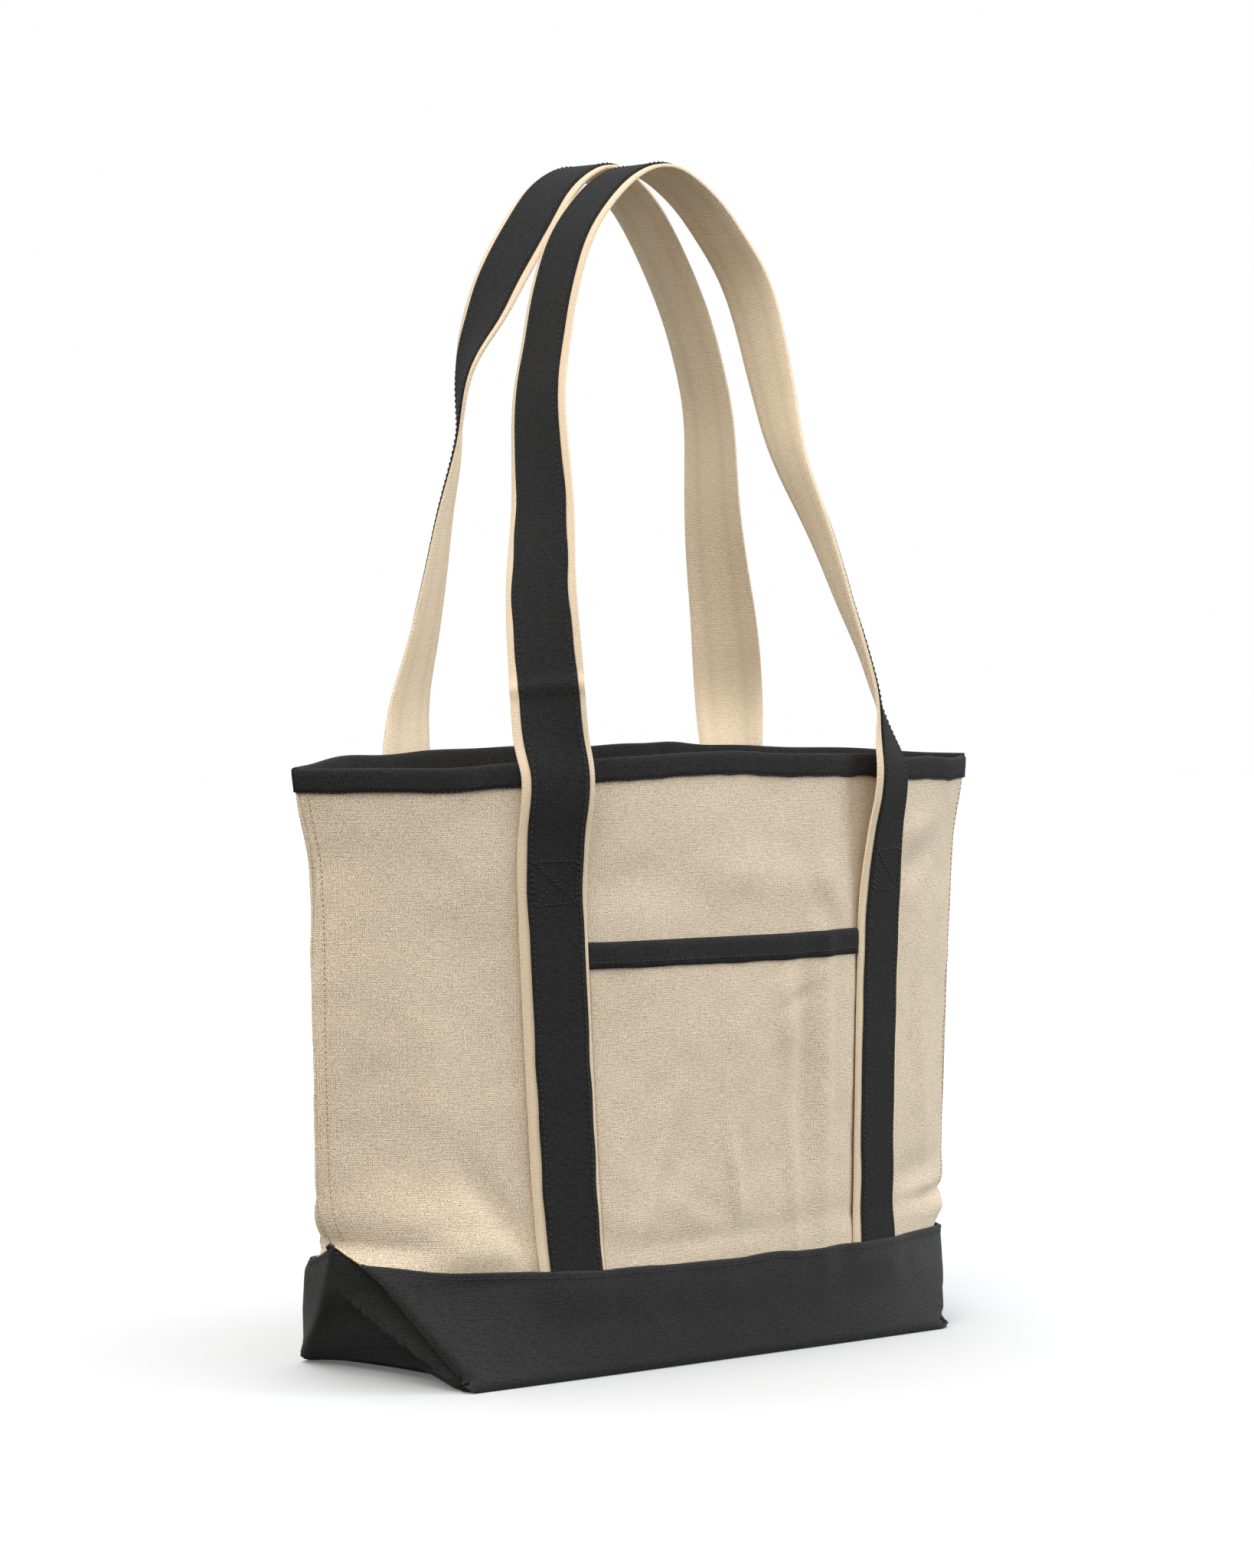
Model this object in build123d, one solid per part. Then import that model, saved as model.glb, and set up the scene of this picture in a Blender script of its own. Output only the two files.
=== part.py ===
from build123d import *
import math
import os

# Canvas tote bag: two body panels on a boxed bottom, a dark base boot, a patch pocket and two webbing handles.
# Millimetres. +X runs along the width, -Y is the pocket side, +Z is up, and z = 0 is the surface it stands on.

# Body
base_length = 324.0
base_depth = 142.0
rim_width = 456.0
rim_height = 307.0
mouth_depth = 130.0
forward_lean = 13.0
apex_width = 396.0
apex_height = 69.0
apex_half_depth = 69.0
belly_width = 426.0
belly_height = 110.0
belly_half_depth = 66.0
shoulder_width = 432.0
shoulder_height = 240.0
top_allowance = 10.0
lens_power = 3.0
panel_reach = 0.985  # share of the half width that the panels cover, short of the side seams
curve_points = 13

# Cloth
canvas = 1.6
boot_cloth = 1.6
gap = 0.3
boot_front_height = 52.0
boot_end_height = 64.0
boot_edge_rise = 34.0  # height the curved top edge gains a base length away from the middle
boot_corner_growth = 1.2  # extra growth of the boot's depth, which keeps it clear of the slanted ends
binding_cloth = 1.2
binding_drop = 14.0
binding_reach = 0.975
slot_overrun = 1.02
slot_drop = 5.0

# Side seams and boxed corners inside
seam_depth = 12.0
seam_thickness = 2.2
seam_edge_inset = 1.5
seam_end_gap = 4.0
fold_inset = 6.0
fold_side_gap = 2.0
fold_tip_inset = 10.0
fold_tip_drop = 10.0
fold_tip_half = 2.0

# Pocket
pocket_top = 212.0
pocket_bottom = 58.0
pocket_fill_height = 92.0
pocket_stand_off = 8.0
pocket_side_gap = 1.9
pocket_strap_gap = 2.0
pocket_band = 12.5
pocket_binding_reach = 0.98

# Straps
strap_x = 112.0
front_left_lean = 16.0  # how far the foot of the front left leg sits inward of its top
web_width = 38.0
web_thickness = 1.8
trim_width = 30.0
trim_thickness = 1.2
trim_gap = 0.2
strap_spans = 44
leg_foot = 59.0
leg_top = 260.0
flex_gap = 0.5
leg_stand_off = 0.4
rim_stand_off = 2.6
rim_crossing = 282.0
rim_clearance = 5.0

# Box stitches on the sewn legs
stitch_box_width = 26.0
stitch_box_height = 22.0
stitch_box_drop = 2.0
stitch_width = 1.0
stitch_thickness = 0.5

# Each free handle from its left leg to its right leg, seen from its own side: x, y, z and the heading of its width.
front_route = [
    (-113, -70, 345, -38),
    (-101, -47, 430, -74),
    (-90, -31, 486, -88),
    (-76, -22, 541, -90),
    (-58, -21, 581, -90),
    (-31, -21, 608, -90),
    (-4, -21, 615, -90),
    (20, -21, 602, -90),
    (43, -21, 580, -90),
    (60, -21, 554, -90),
    (73, -26, 508, -95),
    (79, -37, 462, -106),
    (97, -55, 405, -119),
    (112, -68, 345, -134),
]
back_route = [
    (-114, -50, 345, -42),
    (-105, -46, 376, -62),
    (-90, -36, 434, -80),
    (-77, -26, 490, -90),
    (-62, -21, 526, -90),
    (-46, -21, 558, -90),
    (-29, -21, 586, -90),
    (-8, -21, 607, -90),
    (14, -21, 615, -88),
    (40, -21, 602, -86),
    (66, -21, 570, -86),
    (86, -22, 530, -98),
    (94, -27, 490, -118),
    (99, -38, 425, -136),
    (108, -47, 360, -150),
]

rows = [
    # height, half width, half depth, how far the ends sweep in
    (0.0, base_length / 2, base_depth / 2, 0.0),
    (apex_height, apex_width / 2, apex_half_depth, apex_half_depth),
    (belly_height, belly_width / 2, belly_half_depth, belly_half_depth),
    (shoulder_height, shoulder_width / 2, mouth_depth / 2, mouth_depth / 2),
    (rim_height + top_allowance, rim_width / 2, mouth_depth / 2, mouth_depth / 2),
]


def section(z):
    """Half width, half depth, end sweep and centre line of the body at a height."""
    lower, upper = next((a, b) for a, b in zip(rows, rows[1:]) if z <= b[0])
    t = (z - lower[0]) / (upper[0] - lower[0])
    width, depth, sweep = (a + (b - a) * t for a, b in zip(lower[1:], upper[1:]))
    return width, depth, sweep, -forward_lean * z / rim_height


def wall_point(u, z, offset, side):
    """Point on the front (-1) or back (+1) wall: u runs -1..1 along it, offset is outward."""
    width, depth, sweep, centre = section(z)
    reach = depth - sweep * abs(u) ** lens_power
    slope = -lens_power * sweep / width * abs(u) ** (lens_power - 1) * math.copysign(1, u)
    length = math.hypot(slope, 1)
    x = width * u - offset * slope / length
    y = reach + offset / length
    return Vector(x, centre + side * y, z)


def heights(z_low, z_high):
    """The two end heights and every row of the body between them."""
    return [z_low] + [row[0] for row in rows if z_low < row[0] < z_high] + [z_high]


def curve(u_low, u_high, z, offset, side):
    steps = [u_low + (u_high - u_low) * i / (curve_points - 1) for i in range(curve_points)]
    return Spline(*[wall_point(u, z, offset(u, z), side) for u in steps])


def wall(limits, z_low, z_high, inner, outer, side):
    """A layer that follows one wall between two heights; limits(z) gives its two ends."""
    sections = []
    for z in heights(z_low, z_high):
        low, high = limits(z)
        near = curve(low, high, z, outer, side)
        far = curve(low, high, z, inner, side)
        ends = [Line(near @ 0, far @ 0), Line(near @ 1, far @ 1)]
        sections.append(Wire([near, far, *ends]))
    return Solid.make_loft(sections, ruled=True)


def flat(value):
    """An offset that is the same all over a wall."""
    return lambda u, z: value


def raised(ground, amount):
    """An offset that stands a fixed amount outside another one."""
    return lambda u, z: ground(u, z) + amount


def fixed(low, high):
    """Ends that are the same at every height."""
    return lambda z: (low, high)


def body_panel(side):
    ends = fixed(-panel_reach, panel_reach)
    return wall(ends, boot_cloth + gap, rim_height, flat(-canvas), flat(0), side)


def level_rectangle(x_out, x_in, y_low, y_high, z):
    corners = [(x_out, y_low), (x_out, y_high), (x_in, y_high), (x_in, y_low)]
    return Wire.make_polygon([Vector(x, y, z) for x, y in corners], close=True)


def bottom_panel():
    """The body's own bottom inside the boot, with the folded ends of the boxed corners."""
    foot = boot_cloth + gap
    on_floor = (Align.CENTER, Align.CENTER, Align.MIN)
    length = base_length - 2 * (canvas + 2 * gap)
    plate = Box(length, base_depth - 2 * fold_inset, canvas, align=on_floor)
    shape = Pos(0, 0, foot) * plate
    half = base_depth / 2 - fold_inset - fold_side_gap
    tip = apex_height - fold_tip_drop
    centre = section(tip)[3]
    for side in (-1, 1):
        x_foot = side * (base_length / 2 - fold_inset)
        x_head = side * (apex_width / 2 - fold_tip_inset)
        x_head_in = x_head - side * canvas
        lower = level_rectangle(x_foot, x_foot - side * canvas, -half, half, foot)
        upper = level_rectangle(x_head, x_head_in, centre - fold_tip_half, centre + fold_tip_half, tip)
        shape = shape + Solid.make_loft([lower, upper], ruled=True)
    return shape


def boot_outline(z, offset):
    """Closed outline of the bag at one height of the boot, grown by an offset."""
    width, depth, sweep, centre = section(z)
    splines = []
    for side in (-1, 1):
        points = []
        for i in range(curve_points):
            u = 2 * i / (curve_points - 1) - 1
            y = depth + offset * boot_corner_growth - sweep * abs(u) ** lens_power
            points.append(Vector((width + offset) * u, centre + side * y, z))
        splines.append(Spline(*points))
    front, back = splines
    return Wire([front, back, Line(front @ 0, back @ 0), Line(front @ 1, back @ 1)])


def above_boot_edge():
    """Everything above the boot's top edge, a shallow arc that is higher at the two ends."""
    reach = base_length
    far = boot_front_height + boot_edge_rise
    arc = ThreePointArc((-reach, 0, far), (0, 0, boot_front_height), (reach, 0, far))
    sides = Polyline(arc @ 1, Vector(reach, 0, 2 * far), Vector(-reach, 0, 2 * far), arc @ 0)
    return extrude(Face(Wire([arc, *sides.edges()])), amount=base_depth, both=True)


def base_boot():
    """One tray of dark cloth: floor, walls and boxed ends."""
    outer_levels = (0, boot_end_height)
    inner_levels = (boot_cloth, boot_end_height + 1)
    outer_wires = [boot_outline(z, 2 * gap + boot_cloth) for z in outer_levels]
    inner_wires = [boot_outline(z, 2 * gap) for z in inner_levels]
    outer = Solid.make_loft(outer_wires, ruled=True)
    inner = Solid.make_loft(inner_wires, ruled=True)
    return outer - inner - above_boot_edge()


def channel(low, high, z_top, drop, ground, side):
    """Binding folded over the top edge of a canvas layer whose outer face stands at ground."""
    slot_in, slot_out = raised(ground, -canvas - gap), raised(ground, gap)
    inside = raised(ground, -canvas - gap - binding_cloth)
    outside = raised(ground, gap + binding_cloth)
    slot_ends = fixed(low * slot_overrun, high * slot_overrun)
    z_low, z_slot = z_top - drop, z_top + gap
    block = wall(fixed(low, high), z_low, z_slot + binding_cloth, inside, outside, side)
    return block - wall(slot_ends, z_low - slot_drop, z_slot, slot_in, slot_out, side)


def rim_binding(side):
    return channel(-binding_reach, binding_reach, rim_height, binding_drop, flat(0), side)


def strap_centre(x, z, side):
    """Place of a sewn leg along its wall; the front left one leans inward towards its foot."""
    if side > 0 or x > 0:
        return x
    return x + front_left_lean * max(0, (leg_top - z) / (leg_top - leg_foot))


def pocket_sides(z):
    """Left and right edge of the pocket, which fills the space between the front legs."""
    inset = web_width / 2 + pocket_strap_gap
    return strap_centre(-strap_x, z, -1) + inset, strap_centre(strap_x, z, -1) - inset


def pocket_limits(z):
    return tuple(x / section(z)[0] for x in pocket_sides(z))


def pocket_ground(u, z):
    """Outer face of the pocket: flat on the wall at its sides and foot, standing off between."""
    left, right = pocket_sides(z)
    from_middle = u * section(z)[0] - (left + right) / 2
    across = 1 - (2 * from_middle / (right - left)) ** 2
    rise = min(1, (z - pocket_bottom) / (pocket_fill_height - pocket_bottom))
    return pocket_side_gap + canvas + pocket_stand_off * across * rise


def pocket_panel():
    """The pocket in two lofts, because its foot flares out to its full stand-off."""
    inner = raised(pocket_ground, -canvas)
    foot = wall(pocket_limits, pocket_bottom, pocket_fill_height, inner, pocket_ground, -1)
    upper = wall(pocket_limits, pocket_fill_height, pocket_top, inner, pocket_ground, -1)
    return foot + upper


def pocket_binding():
    low, high = (u * pocket_binding_reach for u in pocket_limits(pocket_top))
    return channel(low, high, pocket_top, pocket_band, pocket_ground, -1)


def side_seam(side):
    """Turned seam allowance inside the bag where the two panels meet."""
    sections = []
    for z in heights(apex_height + seam_end_gap, rim_height - binding_drop - seam_end_gap):
        width, _, _, centre = section(z)
        x_out = side * (width - seam_edge_inset)
        x_in = x_out - side * seam_depth
        half = seam_thickness / 2
        sections.append(level_rectangle(x_out, x_in, centre - half, centre + half, z))
    return Solid.make_loft(sections, ruled=True)


def leg_frame(x, z, side):
    """Point on the wall with its outward normal and the sideways direction of a strap."""
    u = strap_centre(x, z, side) / section(z)[0]
    point = wall_point(u, z, 0, side)
    normal = (wall_point(u, z, 1, side) - point).normalized()
    return point, normal, normal.cross(Vector(0, 0, -1))


def strap_section(point, normal, across, width, inner, outer):
    half = across * (width / 2)
    corners = [
        point + normal * inner - half,
        point + normal * inner + half,
        point + normal * outer + half,
        point + normal * outer - half,
    ]
    return Wire.make_polygon(corners, close=True)


def leg(x, side, width, inner, outer):
    """The sewn length of a strap, from the boot up to the flex line."""
    sections = [
        strap_section(*leg_frame(x, z, side), width, inner, outer)
        for z in heights(leg_foot, leg_top)
    ]
    return Solid.make_loft(sections, ruled=True)


web_in = leg_stand_off
web_out = web_in + web_thickness
trim_in = web_out + trim_gap
trim_out = trim_in + trim_thickness


def half_turn(vector, side):
    return vector if side < 0 else Vector(-vector.X, -vector.Y, vector.Z)


def ribbon(frames, width, inner, outer):
    """A flat strap through a row of frames: four smooth rails, joined by short faces, and two ends."""
    corners = []
    for point, normal, across in frames:
        half = across * (width / 2)
        low, high = point + normal * inner, point + normal * outer
        corners.append((low - half, low + half, high + half, high - half))
    rails = [Edge.make_spline([row[i] for row in corners]) for i in range(4)]
    stations = [[rail @ (i / strap_spans) for rail in rails] for i in range(strap_spans + 1)]
    faces = [Face(Wire.make_polygon(stations[i], close=True)) for i in (0, -1)]
    for near, far in zip(stations, stations[1:]):
        for k in range(4):
            low, high = Edge.make_line(near[k], far[k]), Edge.make_line(near[k - 1], far[k - 1])
            faces.append(Face.make_surface_from_curves(low, high))
    return Solid(Shell(faces))


def rim_frames(hand, side):
    """Frames from the flex line over the rim binding, for the left (-1) or right (1) end of a handle."""
    frames = []
    for z in (leg_top + flex_gap, rim_crossing, rim_height + rim_clearance):
        point, normal, across = leg_frame(-side * hand * strap_x, z, side)
        lift = rim_stand_off if z >= rim_crossing else 0
        frames.append((point + normal * lift, normal, across * -hand))
    return frames


def loop(route, side, width, inner, outer):
    """The free length of a handle, with its width turning from along the rim to across it."""
    left_end, right_end = rim_frames(-1, side), rim_frames(1, side)[::-1]
    points = [half_turn(Vector(x, y, z), side) for x, y, z, _ in route]
    known = [left_end[-1][0], *points, right_end[0][0]]
    frames = []
    for i, (_, _, _, heading) in enumerate(route):
        angle = math.radians(heading)
        across = half_turn(Vector(math.cos(angle), math.sin(angle), 0), side)
        tangent = (known[i + 2] - known[i]).normalized()
        across = (across - tangent * across.dot(tangent)).normalized()
        frames.append((known[i + 1], across.cross(tangent), across))
    return ribbon(left_end + frames + right_end, width, inner, outer)


def box_stitch(x, side):
    """A stitched rectangle with a cross that holds the top of one sewn leg."""
    top = leg_top - stitch_box_drop
    low, _, _ = leg_frame(x, top - stitch_box_height, side)
    high, normal, across = leg_frame(x, top, side)
    square = across.cross((high - low).normalized())
    outward = square if square.dot(normal) > 0 else -square
    centre = (low + high) / 2 + outward * (trim_out + gap)
    plane = Plane(origin=centre, x_dir=across, z_dir=outward)
    diagonal = math.hypot(stitch_box_width, stitch_box_height)
    tilt = math.degrees(math.atan2(stitch_box_height, stitch_box_width))
    align = (Align.CENTER, Align.CENTER, Align.MIN)
    level_bar = Box(stitch_box_width, stitch_width, stitch_thickness, align=align)
    upright_bar = Box(stitch_width, stitch_box_height, stitch_thickness, align=align)
    slanted_bar = Box(diagonal, stitch_width, stitch_thickness, align=align)
    bars = []
    for sign in (-1, 1):
        bars.append(Pos(0, sign * stitch_box_height / 2, 0) * level_bar)
        bars.append(Pos(sign * stitch_box_width / 2, 0, 0) * upright_bar)
        bars.append(Rot(0, 0, sign * tilt) * slanted_bar)
    return plane.location * (bars[0] + bars[1:])


def body_shapes():
    return {
        "front_panel": body_panel(-1),
        "back_panel": body_panel(1),
        "bottom_panel": bottom_panel(),
        "base_boot": base_boot(),
        "front_rim_binding": rim_binding(-1),
        "back_rim_binding": rim_binding(1),
        "left_side_seam": side_seam(-1),
        "right_side_seam": side_seam(1),
        "pocket_panel": pocket_panel(),
        "pocket_binding": pocket_binding(),
    }


def strap_shapes(name, side, route):
    """One handle with its two sewn legs and their box stitches."""
    shapes = {}
    for hand, x in (("left", -strap_x), ("right", strap_x)):
        shapes[f"{name}_{hand}_leg_web"] = leg(x, side, web_width, web_in, web_out)
        shapes[f"{name}_{hand}_leg_trim"] = leg(x, side, trim_width, trim_in, trim_out)
    shapes[f"{name}_handle_web"] = loop(route, side, web_width, web_in, web_out)
    shapes[f"{name}_handle_trim"] = loop(route, side, trim_width, trim_in, trim_out)
    shapes[f"{name}_box_stitches"] = box_stitch(-strap_x, side) + box_stitch(strap_x, side)
    return shapes


shapes = {**body_shapes(), **strap_shapes("front", -1, front_route), **strap_shapes("back", 1, back_route)}
boxes = [shape.bounding_box() for shape in shapes.values()]
y_middle = (min(box.min.Y for box in boxes) + max(box.max.Y for box in boxes)) / 2
os.makedirs("parts", exist_ok=True)
for name, shape in shapes.items():
    export_step(Pos(0, -y_middle, 0) * shape, f"parts/{name}.step")
front_flex = shapes["front_box_stitches"].bounding_box().min.Y
back_flex = shapes["back_box_stitches"].bounding_box().max.Y
print("front flex line", round(front_flex - y_middle, 2), leg_top)
print("back flex line", round(back_flex - y_middle, 2), leg_top)
print("shift", round(-y_middle, 2))
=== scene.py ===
import math

import bpy
import numpy as np
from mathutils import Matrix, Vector


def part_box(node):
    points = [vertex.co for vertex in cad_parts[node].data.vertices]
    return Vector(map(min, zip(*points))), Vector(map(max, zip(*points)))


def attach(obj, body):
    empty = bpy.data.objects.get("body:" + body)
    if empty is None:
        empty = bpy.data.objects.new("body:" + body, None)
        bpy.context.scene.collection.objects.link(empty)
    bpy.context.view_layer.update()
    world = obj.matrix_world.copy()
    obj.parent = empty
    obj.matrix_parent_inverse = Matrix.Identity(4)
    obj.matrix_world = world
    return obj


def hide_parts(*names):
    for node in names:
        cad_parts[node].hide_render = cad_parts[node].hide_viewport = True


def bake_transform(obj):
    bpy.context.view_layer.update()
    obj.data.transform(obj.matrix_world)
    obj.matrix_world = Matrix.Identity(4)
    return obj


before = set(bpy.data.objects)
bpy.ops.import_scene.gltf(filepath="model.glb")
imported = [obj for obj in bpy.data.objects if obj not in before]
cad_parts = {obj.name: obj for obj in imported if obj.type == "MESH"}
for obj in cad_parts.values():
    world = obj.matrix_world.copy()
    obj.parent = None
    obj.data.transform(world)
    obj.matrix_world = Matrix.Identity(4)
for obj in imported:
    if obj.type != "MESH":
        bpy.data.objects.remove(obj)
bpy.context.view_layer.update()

# Every length is in metres. -Y is the pocket side, +X the right side seen from there.
MM = 0.001
BASE_Y = float(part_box("base_boot")[0][1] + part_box("base_boot")[1][1]) / 2

# Body: its rows of heights with their half widths, shifts to the right and half depths. The whole body
# leans forward by LEAN, and APEX is the height where the boxed ends come to a point.
APEX = 69 * MM
LEAN = 13 / 307
ROW_Z = np.array([0, 30, 52, 69, 80, 100, 160, 229, 262, 287, 314]) * MM
ROW_WIDTH = np.array([160.5, 177, 189.5, 198, 207, 213, 216.5, 219.5, 221.5, 227.5, 231]) * MM
ROW_SHIFT = np.array([0, 0, 0, 0, 1.5, 4, 4, 4, 3, 1.5, 1]) * MM
ROW_DEPTH = np.array([69.5, 69.5, 69.5, 69, 69, 67.5, 66, 65, 65, 64.5, 64]) * MM
LENS_POWER = 3.0

# How far the ends of the walls have swept in from the base's corners to the side seams, by height.
SWEEP_Z = np.array([0, 15, 30, 53, 60, 65, 69]) * MM
SWEEP_SHARE = np.array([0, 0.148, 0.296, 0.56, 0.69, 0.85, 1.0])

# How far the right side seam comes forward at each height.
SEAM_Z = np.array([50, 56, 64, 70, 76, 84, 92, 104, 123, 153, 200, 240]) * MM
SEAM_SHIFT = np.array([0, -5, -17, -25, -19, -13.5, -9, -5.5, -5, -3, -0.8, 0]) * MM

# The fold across each boxed end: where its crest runs, and how deep its valley and hollow are.
CREST_Z = np.array([0, 3.5, 20, 27, 40, 46, 69]) * MM
CREST_SHARE = np.array([0.02, 0.045, 0.165, 0.26, 0.43, 0.5, 0.5])
VALLEY_DEPTH = 13.0 * MM
CREST_OUT = 3.0 * MM
BACK_OUT = 6.0 * MM
HOLLOW_DEPTH = 12.0 * MM
END_OUT = (0.90, -0.43)

# Thicknesses of the cloths, how far the boot stands off the canvas, and the size of the body's panels.
CLOTH = 1.2 * MM
BOOT_LIFT = 2.0 * MM
BOOT_CLOTH = 1.3 * MM
BOTTOM_CLOTH = 0.6 * MM
BINDING_THICK = 1.1 * MM
PANEL_FOOT = 2.6 * MM
PANEL_HALF = 231 * MM

# Columns of points along each wall of the boot and across each of its boxed ends.
SIDE_COUNT = 121
END_COUNT = 61

# Rim binding: how far it reaches down outside and inside.
BINDING_DROP = 10.8 * MM
BINDING_INSIDE = 12 * MM

# Straps: where the sewn legs stand, how the front left one leans in, the widths and thicknesses of their
# webbing and tape, the crease beside the rim, and the heights of the stitched boxes.
STRAP_X = 112 * MM
LEAN_IN = 14.5 * MM
LEG_TOP = 260 * MM
LEG_LENGTH = 201 * MM
LEG_TWIST = 12.0
WEB = 37.4 * MM
TRIM = 30 * MM
WEB_THICK = 1.9 * MM
TRIM_THICK = 1.0 * MM
CREASE_Z = 345 * MM
CREASE_OUT = 2.4 * MM
CREASE_REACH = 3.2 * MM
BOX_LOW = 238 * MM
BOX_HIGH = 259.5 * MM

# Pocket: its half width, top and foot, and how far its binding reaches down outside and inside.
POCKET_HALF = 93.5 * MM
POCKET_TOP = 217 * MM
POCKET_FOOT = 48 * MM
POCKET_DROP = 12.2 * MM
POCKET_INSIDE = 10 * MM

# Pitch and thread thickness of the dark stitch lines.
PITCH = 3.0 * MM
GAUGE = 0.55 * MM

SEED = 7


# ---- surfaces

def smooth_profile(z, values):
    """A profile through the rows with its corners eased over about a centimetre."""
    offsets = np.linspace(-6, 6, 7) * MM
    return sum(np.interp(z + offset, ROW_Z, values) for offset in offsets) / len(offsets)


def waves(a, b, size, seed):
    """Smooth random relief of about unit height whose bumps are about size across."""
    count = 14
    random = np.random.default_rng(SEED + seed)
    total = np.zeros(np.broadcast(a, b).shape)
    for _ in range(count):
        heading = random.uniform(0, math.pi)
        step = math.pi / size * random.uniform(0.6, 1.5)
        phase = random.uniform(0, 2 * math.pi)
        total += np.sin((a * math.cos(heading) + b * math.sin(heading)) * step + phase)
    return total / math.sqrt(count)


def ease(value):
    """Smooth step from 0 to 1."""
    value = np.clip(value, 0, 1)
    return value * value * (3 - 2 * value)


def rise(z, start, reach):
    """Smooth step that begins at the height start and takes reach, both in mm."""
    return ease((z - start * MM) / (reach * MM))


def strap_place(hand, side, z):
    """Middle of a sewn leg along its wall; hand is -1 for the left leg seen from its own side."""
    x = -side * hand * STRAP_X + 0 * z
    if side < 0 and hand < 0:
        x += LEAN_IN * np.clip((LEG_TOP - z) / LEG_LENGTH, 0, 1.1)
    return x


def near_straps(side, x, z, reach):
    """1 under the sewn legs and 0 away from them."""
    cover = 0.0
    for hand in (-1, 1):
        cover += np.exp(-(((x - strap_place(hand, side, z)) / reach) ** 4))
    return cover


def hollow(x, z, x0, z0, reach_x, reach_z, tilt=0.0):
    """A soft dent or fold: 1 at its middle and 0 far away, turned by tilt radians."""
    along = (x - x0) * math.cos(tilt) + (z - z0) * math.sin(tilt)
    across = -(x - x0) * math.sin(tilt) + (z - z0) * math.cos(tilt)
    return np.exp(-((along / reach_x) ** 2) - (across / reach_z) ** 2)


# Folds of each wall: x, z, half width, half height and outward height (mm), and tilt (degrees).
FOLDS = {
    -1: [
        (-134, 84, 26, 7, -4.2, -56), (-178, 82, 14, 14, 1.6, -25),
        (-165, 150, 9, 60, 1.2, 8), (-120, 170, 12, 70, 1.4, -6),
        (-62, 130, 6, 60, 0.9, -12), (-44, 104, 4, 46, 0.8, -16),
        (-36, 104, 5, 40, -0.8, -16), (-30, 82, 14, 6, 0.6, -30),
        (-6, 78, 16, 6, -0.6, -24), (4, 96, 5, 26, 2.4, 10),
        (10, 150, 12, 50, 1.2, 6), (38, 176, 6, 26, 3.2, 3),
        (53, 150, 6, 60, -2.6, 1), (68, 142, 6, 85, 3.6, 1),
        (46, 92, 5, 30, 2.6, 4), (48, 184, 12, 4, -1.4, 14),
        (-60, 250, 40, 14, -1.6, 4), (30, 246, 50, 12, 1.6, -6),
        (74, 238, 5, 18, 1.8, 30), (62, 236, 6, 20, -1.6, 30),
        (160, 72, 36, 6, 2.2, 3), (160, 83, 36, 7, -1.3, 3),
        (150, 150, 7, 60, -2.0, -6), (170, 130, 7, 56, 2.0, 5),
        (190, 180, 7, 50, -1.4, 4), (-20, 64, 60, 6, -1.2, 2),
        (146, 268, 30, 8, 2.2, 12), (150, 250, 22, 7, -2.0, 18),
        (-150, 250, 22, 26, 1.4, -14),
    ],
    1: [
        (-140, 96, 26, 30, -3.0, -20), (-40, 130, 60, 40, -2.4, 8),
        (30, 90, 40, 14, 2.4, -10), (90, 120, 14, 60, 2.0, 10),
        (60, 200, 50, 22, -2.0, -14), (-90, 210, 26, 40, 1.8, 16),
        (165, 92, 22, 20, 2.8, 30), (-170, 88, 18, 14, 2.6, -30),
        (150, 180, 12, 50, -1.6, -6), (0, 255, 70, 14, 1.6, 3),
    ],
}


def relief(side, x, z):
    """How far a wall's cloth stands out of its plain shape."""
    depth = 0.0
    for x0, z0, reach_x, reach_z, height, tilt in FOLDS[side]:
        depth += height * MM * hollow(
            x, z, x0 * MM, z0 * MM, reach_x * MM, reach_z * MM, math.radians(tilt)
        )
    depth += 0.55 * MM * waves(x, z * 0.6, 38 * MM, 10 + side)
    depth += 0.16 * MM * waves(x, z, 13 * MM, 20 + side)
    return depth * np.clip(z / (40 * MM), 0, 1) * (1 - 0.75 * near_straps(side, x, z, 21 * MM))


def corner_fill(side, u, z):
    """Both walls stay full a little above the boot's left corners."""
    if side < 0:
        height = 0.15 * rise(z, 48, 18) * (1 - rise(z, 62, 50))
        height += 0.05 * np.exp(-(((z - 69 * MM) / (6 * MM)) ** 2))
        return height * np.exp(-(((u + 0.78) / 0.17) ** 2)) * (1 - np.clip(-u, 0, 1) ** 24)
    height = rise(z, 59, 8) * (1 - rise(z, 70, 42))
    return 0.27 * height * np.exp(-(((u + 0.9) / 0.1) ** 2)) * (1 - np.clip(-u, 0, 1) ** 24)


def wall_plain(side, u, z):
    """A wall with no relief: u runs from -1 at the left end to 1 at the right end."""
    u, z = np.broadcast_arrays(np.asarray(u, float), np.asarray(z, float))
    width = smooth_profile(z, ROW_WIDTH)
    depth = smooth_profile(z, ROW_DEPTH)
    sweep = np.interp(z, SWEEP_Z, SWEEP_SHARE)
    reach = np.abs(u) ** LENS_POWER - corner_fill(side, u, z)
    y = side * depth * (1 - sweep * reach)
    seam = sum(np.interp(z + step * 4 * MM, SEAM_Z, SEAM_SHIFT) for step in (-1, 0, 1)) / 3
    y += seam * np.clip(u, 0, 1) ** 4
    x = width * u + smooth_profile(z, ROW_SHIFT)
    return np.stack([x, BASE_Y - LEAN * z + y, z], axis=-1)


def unit(vectors):
    """The vectors at length 1."""
    return vectors / np.maximum(np.linalg.norm(vectors, axis=-1, keepdims=True), 1e-9)


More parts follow.
